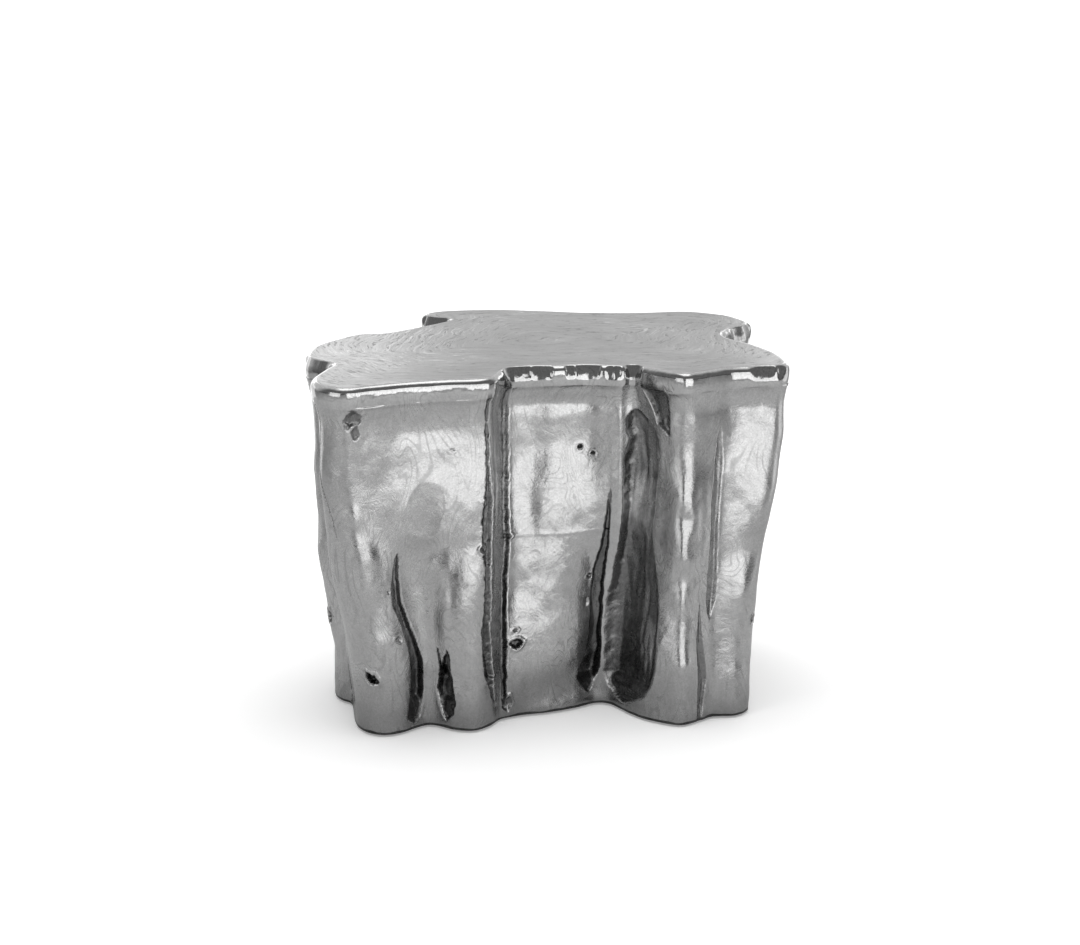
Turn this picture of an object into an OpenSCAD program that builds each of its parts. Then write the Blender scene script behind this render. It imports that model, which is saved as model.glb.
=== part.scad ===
// Tree-stump side table: a hollow trunk of cast aluminium panels, a cast top with a rolled rim,
// a steel floor plate and five screw-in levelling feet. Millimetres, +Z up, origin on the floor
// under the middle of the trunk, front towards -Y.

/* [Trunk] */
// Height from the floor to the polished top
table_h = 440; // [420:5:480]
// Thickness of the cast wall panels
wall_t = 5; // [4:0.5:6]
// Gap between the shell's lower edge and the floor
floor_gap = 3; // [2:0.5:5]
// How far the rim stands proud of the wall under it
lip_d = 8.5; // [4:0.5:10]
// Height of the weld that joins the two halves of the front panel
front_weld_z = 230; // [200:5:300]

/* [Top] */
// Height of the cast top's skirt
skirt_h = 26; // [22:1:32]
// Radius of the rolled edge
rim_r = 8; // [4:1:8]
// Thickness of the plate under the polished face
plate_t = 7; // [5:1:9]
// Depth of the flat bars welded under the plate
rib_h = 30; // [20:1:40]
// Thickness of those bars
rib_t = 5; // [4:1:8]

/* [Fixings] */
// Radius of the M6 bolts
bolt_r = 3; // [2.5:0.5:3]
// Width of the welded angle brackets
bracket_w = 30; // [24:1:34]
// Length of a bracket's flat leg
bracket_l = 34; // [30:1:38]
// Thickness of the bracket steel
bracket_t = 4; // [3:0.5:5]

/* [Base] */
// Height of the floor plate's underside
base_z = 22; // [22:1:26]
// Thickness of the floor plate
base_t = 3; // [2:0.5:4]

/* [Levelling feet] */
// Radius of the foot's pad
pad_r = 17; // [14:0.5:18]
// Radius of the M10 stud
stud_r = 5; // [4:0.5:5]
// How far a foot screws out from its stop
foot_travel = 12; // [8:1:14]

/* [Hidden] */
$fn = 48;

// Outline of the rim, counter-clockwise from the deep crease on the front.
RIM = [
    [-44, -124], [-20, -114], [15, -113], [50, -107], [76, -111.5], [93, -113],   // front face
    [107, -107], [120, -119], [140, -137], [170, -156], [198, -142],            // front right lobe
    [225, -124], [260, -115], [288, -110], [301, -90], [297, -56], [286, -22],  // right lobe
    [266, 15], [240, 50],
    [231, 76], [242, 105], [261, 125], [268, 145], [260, 168], [240, 194],      // back right lobe
    [210, 213], [180, 221], [140, 215],
    [95, 211], [45, 214], [-5, 224], [-60, 232], [-110, 228], [-143, 220],      // back lobe
    [-161, 204], [-163, 189], [-154, 177],
    [-130, 164], [-145, 143], [-175, 114], [-207, 87], [-240, 80], [-268, 49],  // left lobe
    [-292, 10], [-300, -35], [-298, -63], [-283, -82],
    [-266, -98], [-274, -128], [-284, -170], [-280, -203], [-262, -226],        // front left lobe
    [-236, -233], [-205, -219], [-160, -200], [-120, -190], [-82, -184],
    [-60, -172], [-51, -148]
];
// Outline of the foot, point for point under the rim.
FOOT = [
    [-52, -162], [-28, -149], [5, -139], [36, -122], [62, -103], [80, -106],
    [94, -126], [106, -145], [128, -169], [165, -188], [190, -172],
    [208, -155], [236, -151], [252, -132], [254, -108], [251, -70], [244, -30],
    [232, 8], [214, 42],
    [206, 70], [216, 98], [236, 122], [242, 136], [234, 156], [214, 180],
    [186, 196], [156, 200], [120, 188],
    [82, 180], [40, 186], [-5, 202], [-55, 210], [-98, 202], [-126, 192],
    [-142, 180], [-143, 167], [-134, 156],
    [-114, 142], [-128, 122], [-156, 96], [-184, 74], [-214, 64], [-240, 38],
    [-260, 4], [-268, -36], [-266, -72], [-256, -93],
    [-245, -106], [-240, -140], [-236, -172], [-230, -196], [-216, -217],
    [-198, -225], [-176, -216], [-144, -187], [-112, -205], [-88, -208],
    [-70, -192], [-60, -172]
];
// The outline's points where one cast panel ends and the next begins: all lie in creases.
SEAMS = [0, 6, 11, 19, 28, 37, 47, 59];

SUBS = 3;                          // surface columns between two outline points
COLS = len(RIM) * SUBS;
wall_top = table_h - skirt_h;
taper_low = 20;                    // the wall starts to spread above this height
taper_high = 370;                  // and has reached the rim's outline here
lip_z = 385;                       // the lip swells out above this height
round_z = table_h - rim_r;
LEVELS = concat([floor_gap], [for (z = [35:35:front_weld_z - 1]) z], [front_weld_z],
                [for (z = [front_weld_z + 35:35:lip_z - 20]) z], [lip_z - 8, lip_z + 13, wall_top]);
LOW_LEVELS = [for (z = LEVELS) if (z <= front_weld_z) z];
HIGH_LEVELS = [for (z = LEVELS) if (z >= front_weld_z) z];

// Fixing and foot stations: outline points for the brackets, plan positions for the feet.
TOP_STATIONS = [2, 8, 16, 29, 43, 54];
BASE_STATIONS = [1, 16, 27, 30, 42, 48];
FOOT_SPOTS = [[-188, -175], [158, -140], [192, 142], [-78, 158], [-222, -22]];

boss_r = 9;
boss_inset = 19;                   // from the bracket's back to its bolt
weld_bite = 0.8;                   // how far a bracket's weld reaches into the wall
bracket_h = 35;
bracket_top = wall_top - 4;
washer_t = 1.5;
head_h = 4;
head_r = 5;
nut_af = 17;                       // across the flats of the M10 nuts
nut_h = 8;
lock_nut_h = 6;
run_clear = 0.05;                  // radial clearance of a running thread
grip_t = 3;
pad_h = 5;
pad_floor = 1;                     // thickness left under the stud
stud_foot = grip_t + pad_floor;
// The stud still shows above its weld nut when the foot is fully out.
stud_l = base_z + base_t + nut_h + foot_travel + 5 - stud_foot;
rib_y = 12;                        // the long bar runs just behind the middle
metal = [0.62, 0.62, 0.64];
steel = [0.45, 0.46, 0.48];
zinc = [0.72, 0.72, 0.7];

function smooth(s) = let (c = min(1, max(0, s))) c * c * (3 - 2 * c);
function spline(a, b, c, d, f) =
    0.5 * (2 * b + (c - a) * f + (2 * a - 5 * b + 4 * c - d) * f * f + (3 * b - a - 3 * c + d) * f * f * f);
function closed_curve(pts) = let (n = len(pts)) [
    for (i = [0:n - 1]) for (s = [0:SUBS - 1])
        spline(pts[(i + n - 1) % n], pts[i], pts[(i + 1) % n], pts[(i + 2) % n], s / SUBS)
];
function normal(ring, j) =
    let (n = len(ring), t = ring[(j + 1) % n] - ring[(j + n - 1) % n]) [t[1], -t[0]] / norm(t);
function inset(ring, d) = [for (j = [0:len(ring) - 1]) ring[j] - d * normal(ring, j)];

function mid(v) = (min(v) + max(v)) / 2;

// Both outlines are shifted together, so that the rim's box is centred on the origin.
rim_raw = closed_curve(RIM);
centre = [mid([for (p = rim_raw) p[0]]), mid([for (p = rim_raw) p[1]])];
rim_curve = [for (p = rim_raw) p - centre];
foot_curve = [for (p = closed_curve(FOOT)) p - centre];
spread = function (z) smooth((z - taper_low) / (taper_high - taper_low));
lip = function (z) spread(z) * lip_d * (1 - smooth((z - lip_z) / (round_z - lip_z)));
// Slow hollows and bellies of the wall, which die out at the rim and at the foot.
belly = function (j, z) let (u = 360 * j / COLS, t = z / table_h)
    sin(180 * t) * (2.2 * sin(5 * u + 200 * t) + 1.6 * sin(9 * u - 260 * t) - 5 * sin(288 * t) * cos(u - 86));

// Outer surface of the trunk at height z: the foot's outline spreads into the rim's.
function outline(z) =
    let (base = [for (j = [0:COLS - 1]) foot_curve[j] + (rim_curve[j] - foot_curve[j]) * spread(z)])
    [for (j = [0:COLS - 1]) base[j] + (belly(j, z) - lip(z)) * normal(base, j)];

function raise(ring, z) = [for (p = ring) [p[0], p[1], z]];
function quad(a, b, c, d) = [[a, b, c], [a, c, d]];

// One cast panel: columns first to last, between an outer and an inner skin.
module panel(first, last, levels) {
    n = last - first + 1;
    rings = [for (z = levels) outline(z)];
    skins = [for (deep = [0, wall_t]) for (k = [0:len(levels) - 1])
        let (ring = inset(rings[k], deep)) for (j = [first:last])
            let (p = ring[j % COLS]) [p[0], p[1], levels[k]]];
    top = len(levels) - 1;
    o = function (k, j) k * n + j;
    i = function (k, j) (top + 1 + k) * n + j;
    faces = concat(
        [for (k = [0:top - 1]) for (j = [0:n - 2]) each concat(
            quad(o(k, j), o(k + 1, j), o(k + 1, j + 1), o(k, j + 1)),
            quad(i(k, j + 1), i(k + 1, j + 1), i(k + 1, j), i(k, j)))],
        [for (j = [0:n - 2]) each concat(
            quad(o(top, j), i(top, j), i(top, j + 1), o(top, j + 1)),
            quad(o(0, j), o(0, j + 1), i(0, j + 1), i(0, j)))],
        [for (k = [0:top - 1]) each concat(
            quad(i(k, 0), i(k + 1, 0), o(k + 1, 0), o(k, 0)),
            [[o(k + 1, n - 1), i(k + 1, n - 1), i(k, n - 1)], [o(k, n - 1), o(k + 1, n - 1), i(k, n - 1)]])]);
    color(metal) polyhedron(skins, faces, convexity = 8);
}

// Panel number p, from one seam to the next.
module wall(p, levels = LEVELS) panel(SEAMS[p] * SUBS, SEAMS[p + 1] * SUBS, levels);

// The rim: a closed ring with a skirt below and a rolled edge above, round the flat top plate.
module top_rim() {
    skirt = outline(wall_top);
    rolled = [for (a = [0:30:90])
        raise(inset(rim_curve, rim_r * (1 - cos(a))), round_z + rim_r * sin(a))];
    loops = concat(
        [raise(skirt, wall_top), raise(outline(wall_top + 9), wall_top + 9)], rolled,
        [raise(inset(rim_curve, rim_r), table_h - plate_t), raise(inset(skirt, wall_t + 1), wall_top)]);
    count = len(loops);
    faces = [for (k = [0:count - 1]) for (j = [0:COLS - 1])
        let (up = (k + 1) % count, next = (j + 1) % COLS)
            each quad(k * COLS + j, up * COLS + j, up * COLS + next, k * COLS + next)];
    color(metal) polyhedron([for (l = loops) each l], faces, convexity = 8);
}
module top_plate() color(metal) translate([0, 0, table_h - plate_t])
    linear_extrude(plate_t) polygon(inset(rim_curve, rim_r));

// Puts a child on the wall's inner skin at an outline point, +X pointing out of the trunk.
module on_wall(station, z) {
    ring = outline(z);
    j = station * SUBS;
    out = normal(ring, j);
    p = ring[j] - (wall_t - weld_bite) * out;
    translate([p[0], p[1], 0]) rotate([0, 0, atan2(out[1], out[0])]) children();
}

// An angle bracket with its weld face at x = 0 and its flat leg between z_leg and z_leg + bracket_t.
module bracket(z_low, z_leg) {
    color(steel) difference() {
        union() {
            translate([-bracket_t, -bracket_w / 2, z_low]) cube([bracket_t, bracket_w, bracket_h]);
            translate([-bracket_l, -bracket_w / 2, z_leg]) cube([bracket_l, bracket_w, bracket_t]);
        }
        translate([-boss_inset, 0, z_leg - 1]) cylinder(r = bolt_r + 0.3, h = bracket_t + 2);
    }
}

module top_bracket(i) on_wall(TOP_STATIONS[i - 1], bracket_top - bracket_h + 5)
    bracket(bracket_top - bracket_h, bracket_top - bracket_t);
module base_bracket(i) on_wall(BASE_STATIONS[i - 1], base_z + bracket_h / 2)
    bracket(base_z + base_t, base_z + base_t);

// Children at the bolt of every top bracket, or of every base bracket.
module at_top_bolts() for (s = TOP_STATIONS) on_wall(s, bracket_top - bracket_h + 5)
    translate([-boss_inset, 0, 0]) children();
module at_base_bolts() for (s = BASE_STATIONS) on_wall(s, base_z + bracket_h / 2)
    translate([-boss_inset, 0, 0]) children();

// A button-headed bolt, head down, its head's bearing face at z = 0.
module bolt(shank) {
    translate([0, 0, -head_h]) cylinder(r1 = head_r * 0.6, r2 = head_r, h = head_h);
    cylinder(r = bolt_r, h = shank);
}

// A hexagon nut standing on z = 0.
module nut(across, h, bore_r) difference() {
    cylinder(r = across / sqrt(3), h = h, $fn = 6);
    translate([0, 0, -1]) cylinder(r = bore_r, h = h + 2);
}

module top_bosses() color(metal) at_top_bolts() difference() {
    translate([0, 0, bracket_top]) cylinder(r = boss_r, h = table_h - plate_t - bracket_top);
    translate([0, 0, bracket_top - 1]) cylinder(r = bolt_r + run_clear, h = 17);
}
module top_bolts() color(zinc) at_top_bolts()
    translate([0, 0, bracket_top - bracket_t - washer_t]) bolt(washer_t + bracket_t + 13);
module top_washers() color(zinc) at_top_bolts()
    translate([0, 0, bracket_top - bracket_t - washer_t]) difference() {
        cylinder(r = 6.2, h = washer_t);
        translate([0, 0, -1]) cylinder(r = bolt_r + 0.2, h = washer_t + 2);
    }

module flat_bar(a, b) {
    along = b - a;
    translate([a[0], a[1], table_h - plate_t - rib_h]) rotate([0, 0, atan2(along[1], along[0])])
        translate([0, -rib_t / 2, 0]) cube([norm(along), rib_t, rib_h]);
}
module top_rib_long() color(steel) flat_bar([-215, rib_y], [225, rib_y]);
module top_rib_front() color(steel) flat_bar([20, -58], [20, rib_y - rib_t / 2]);
module top_rib_back() color(steel) flat_bar([20, rib_y + rib_t / 2], [20, 165]);

module base_plate() {
    edge = inset(outline(base_z), wall_t + 3);
    color(steel) translate([0, 0, base_z]) difference() {
        linear_extrude(base_t) polygon(edge);
        for (p = FOOT_SPOTS) translate([p[0], p[1], -1]) cylinder(r = stud_r + 0.5, h = base_t + 2);
        at_base_bolts() translate([0, 0, -1]) cylinder(r = bolt_r + 0.3, h = base_t + 2);
    }
}
module base_bolts() color(zinc) at_base_bolts()
    translate([0, 0, base_z]) bolt(base_t + bracket_t + 6);
module base_weld_nuts() color(zinc) at_base_bolts()
    translate([0, 0, base_z + base_t + bracket_t]) nut(10, 5, bolt_r + run_clear);

module at_feet() for (p = FOOT_SPOTS) translate([p[0], p[1], 0]) children();
module at_foot(i) translate([FOOT_SPOTS[i - 1][0], FOOT_SPOTS[i - 1][1], 0]) children();
module leveller_weld_nuts() color(zinc) at_feet()
    translate([0, 0, base_z + base_t]) nut(nut_af, nut_h, stud_r + run_clear);
module leveller_lock_nuts() color(zinc) at_feet()
    translate([0, 0, base_z - lock_nut_h]) nut(nut_af, lock_nut_h, stud_r + run_clear);

// A foot: rubber grip on the floor, pad with a collar, and a stud that screws into the floor plate.
collar_top = base_z - lock_nut_h;
module foot_grip(i) color([0.06, 0.06, 0.06]) at_foot(i) cylinder(r = pad_r - 1, h = grip_t);
module foot_pad(i) color([0.12, 0.12, 0.13]) at_foot(i) difference() {
    union() {
        translate([0, 0, grip_t]) cylinder(r = pad_r, h = pad_h);
        translate([0, 0, grip_t]) cylinder(r = stud_r + 3, h = collar_top - grip_t);
    }
    translate([0, 0, stud_foot]) cylinder(r = stud_r, h = collar_top);
}
module foot_stud(i) color(zinc) at_foot(i) {
    translate([0, 0, stud_foot]) cylinder(r = stud_r, h = stud_l);
    translate([0, 0, stud_foot + stud_l]) cylinder(r1 = stud_r, r2 = stud_r - 1, h = 1);
}

top_plate();
top_rim();
top_bosses();
top_rib_long();
top_rib_front();
top_rib_back();
wall(0, LOW_LEVELS);  // wall_front_lower
wall(0, HIGH_LEVELS);  // wall_front_upper
wall(1);  // wall_front_right
wall(2);  // wall_right
wall(3);  // wall_back_right
wall(4);  // wall_back
wall(5);  // wall_back_left
wall(6);  // wall_front_left
top_bolts();
top_washers();
base_plate();
base_weld_nuts();
base_bolts();
leveller_weld_nuts();
leveller_lock_nuts();
for (i = [1:6]) top_bracket(i);
for (i = [1:6]) base_bracket(i);
for (i = [1:5]) foot_stud(i);
for (i = [1:5]) foot_pad(i);
for (i = [1:5]) foot_grip(i);
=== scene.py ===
"""Looks of the tree-stump side table: cast skin, polished rim, satin top, fixings, studio.

The shapes are worked out in millimetres and turned into metres in make_piece. A place on the trunk
is a height z above the floor and an outline parameter s: the number of a point in RIM and FOOT, with
fractions between points. s is 0 in the fold left of the front panel and grows to the right.
"""
import math

import bpy
import numpy as np
from mathutils.geometry import delaunay_2d_cdt
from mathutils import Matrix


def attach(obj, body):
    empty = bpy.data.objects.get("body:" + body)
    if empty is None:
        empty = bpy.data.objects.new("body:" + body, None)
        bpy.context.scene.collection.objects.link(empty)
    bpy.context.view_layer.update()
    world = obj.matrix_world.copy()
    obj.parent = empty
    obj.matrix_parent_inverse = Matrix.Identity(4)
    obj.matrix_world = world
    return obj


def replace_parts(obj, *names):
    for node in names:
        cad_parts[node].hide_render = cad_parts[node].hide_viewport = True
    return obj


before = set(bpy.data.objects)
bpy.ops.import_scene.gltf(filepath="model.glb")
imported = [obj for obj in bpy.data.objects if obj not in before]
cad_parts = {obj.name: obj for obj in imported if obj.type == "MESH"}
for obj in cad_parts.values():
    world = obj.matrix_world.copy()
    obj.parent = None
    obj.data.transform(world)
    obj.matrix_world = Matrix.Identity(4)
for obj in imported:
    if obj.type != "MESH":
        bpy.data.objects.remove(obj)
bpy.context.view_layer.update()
bpy.context.scene.view_settings.view_transform = "Standard"

# ---------------- camera
CAMERA_AT = (-0.0073, -3.9895, 1.3268)
CAMERA_DOWN = 14.75  # degrees below the horizon
camera_data = bpy.data.cameras.new("camera")
camera_data.lens = 108.3
camera_data.sensor_width = 36
camera = bpy.data.objects.new("camera", camera_data)
camera.location = CAMERA_AT
camera.rotation_euler = (math.radians(90 - CAMERA_DOWN), 0, 0)
bpy.context.scene.collection.objects.link(camera)
bpy.context.scene.camera = camera

# ---------------- the trunk's loft, as in part.scad (mm)
RIM = [
    (-44, -124), (-20, -114), (15, -113), (50, -107), (76, -111.5), (93, -113),
    (107, -107), (120, -119), (140, -137), (170, -156), (198, -142),
    (225, -124), (260, -115), (288, -110), (301, -90), (297, -56), (286, -22),
    (266, 15), (240, 50),
    (231, 76), (242, 105), (261, 125), (268, 145), (260, 168), (240, 194),
    (210, 213), (180, 221), (140, 215),
    (95, 211), (45, 214), (-5, 224), (-60, 232), (-110, 228), (-143, 220),
    (-161, 204), (-163, 189), (-154, 177),
    (-130, 164), (-145, 143), (-175, 114), (-207, 87), (-240, 80), (-268, 49),
    (-292, 10), (-300, -35), (-298, -63), (-283, -82),
    (-266, -98), (-274, -128), (-284, -170), (-280, -203), (-262, -226),
    (-236, -233), (-205, -219), (-160, -200), (-120, -190), (-82, -184),
    (-60, -172), (-51, -148),
]
FOOT = [
    (-52, -162), (-28, -149), (5, -139), (36, -122), (62, -103), (80, -106),
    (94, -126), (106, -145), (128, -169), (165, -188), (190, -172),
    (208, -155), (236, -151), (252, -132), (254, -108), (251, -70), (244, -30),
    (232, 8), (214, 42),
    (206, 70), (216, 98), (236, 122), (242, 136), (234, 156), (214, 180),
    (186, 196), (156, 200), (120, 188),
    (82, 180), (40, 186), (-5, 202), (-55, 210), (-98, 202), (-126, 192),
    (-142, 180), (-143, 167), (-134, 156),
    (-114, 142), (-128, 122), (-156, 96), (-184, 74), (-214, 64), (-240, 38),
    (-260, 4), (-268, -36), (-266, -72), (-256, -93),
    (-245, -106), (-240, -140), (-236, -172), (-230, -196), (-216, -217),
    (-198, -225), (-176, -216), (-144, -187), (-112, -205), (-88, -208),
    (-70, -192), (-60, -172),
]
POINTS = len(RIM)
SEAMS = [0, 6, 11, 19, 28, 37, 47, 59]  # outline points where a cast panel ends
# The CAD model has the front in two castings, wall_front_lower and wall_front_upper.
PANELS = ["wall_front", "wall_front_right", "wall_right", "wall_back_right",
          "wall_back", "wall_back_left", "wall_front_left"]
TABLE_H = 440
WALL_TOP = 414  # where the rim's ring starts
FLOOR_GAP = 3  # under the wall
WELD_Z = 230  # the weld across the front panel
RIM_R = 8  # rolled edge of the rim
PLATE_T = 7  # thickness of the top
WALL_T = 5  # thickness of the wall
LIP_D = 8.5  # how far the rim stands out from the wall
LIP_Z = 385  # where it starts to
ROUND_Z = TABLE_H - RIM_R  # where it is done, and the edge starts to roll in
BASE_PLATE_Z = 25  # the plate inside the foot, which the skin stays clear of
# Outline parameters of the brackets behind the skin, under the top and on the base plate.
TOP_BRACKETS = [2, 8, 16, 29, 43, 54]
BASE_BRACKETS = [1, 16, 27, 30, 42, 48]
CAD_STEP = 1 / 3  # the CAD model's column spacing, in outline points
LOFT_LOW, LOFT_RISE = 20, 350  # the outline turns from FOOT to RIM over this height


def smooth(s):
    """Smooth step from 0 to 1."""
    c = np.clip(s, 0, 1)
    return c * c * (3 - 2 * c)


def spline(points, s):
    """Closed uniform Catmull-Rom curve through points, at parameters s."""
    p = np.array(points, float)
    s = np.asarray(s, float) % len(p)
    i = np.floor(s).astype(int)
    f = (s - i)[..., None]
    a, b, c, d = (p[(i + k) % len(p)] for k in (-1, 0, 1, 2))
    return 0.5 * (2 * b + (c - a) * f + (2 * a - 5 * b + 4 * c - d) * f ** 2
                  + (3 * b - a - 3 * c + d) * f ** 3)


rim_columns = spline(RIM, np.arange(POINTS * 3) * CAD_STEP)
CENTRE = (rim_columns.min(0) + rim_columns.max(0)) / 2


def base_outline(s, z):
    """Outline before bellies and lip: rows are heights z, columns parameters s."""
    w = smooth((z - LOFT_LOW) / LOFT_RISE)[:, None, None]
    foot = spline(FOOT, s) - CENTRE
    rim = spline(RIM, s) - CENTRE
    return foot + (rim - foot) * w


def outline(s, z):
    """The trunk's plain outer skin at heights z (rows) and parameters s (columns)."""
    base = base_outline(s, z)
    along = base_outline(s + CAD_STEP, z) - base_outline(s - CAD_STEP, z)
    along /= np.linalg.norm(along, axis=-1, keepdims=True)
    out = np.stack([along[..., 1], -along[..., 0]], -1)
    u = 2 * np.pi * s / POINTS
    t = (z / TABLE_H)[:, None]
    belly = np.sin(np.pi * t) * (2.2 * np.sin(5 * u + np.radians(200 * t))
                                 + 1.6 * np.sin(9 * u - np.radians(260 * t))
                                 - 5 * np.sin(np.radians(288 * t)) * np.cos(u - np.radians(86)))
    lip = smooth((z - LOFT_LOW) / LOFT_RISE) * LIP_D * (1 - smooth((z - LIP_Z) / (ROUND_Z - LIP_Z)))
    return base + (belly - lip[:, None])[..., None] * out, out


# ---------------- seeded gradient noise
def make_noise(seed, size=32):
    """Gradient noise of points in space, about -0.7 to 0.7, from one seed. It repeats every size cells."""
    grid = np.random.default_rng(seed).normal(size=(size, size, size, 3))
    grid /= np.linalg.norm(grid, axis=-1, keepdims=True)

    def noise(p):
        cell = np.floor(p).astype(int)
        f = p - cell
        w = f ** 3 * (f * (6 * f - 15) + 10)
        total = np.zeros(p.shape[:-1])
        for dx in (0, 1):
            for dy in (0, 1):
                for dz in (0, 1):
                    corner = np.array([dx, dy, dz])
                    g = grid[tuple(np.moveaxis((cell + corner) % size, -1, 0))]
                    weight = np.prod(np.where(corner == 1, w, 1 - w), axis=-1)
                    total += weight * np.sum(g * (f - corner), axis=-1)
        return total

    return noise


noise_a = make_noise(11)
noise_b = make_noise(23)
noise_c = make_noise(37)

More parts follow.
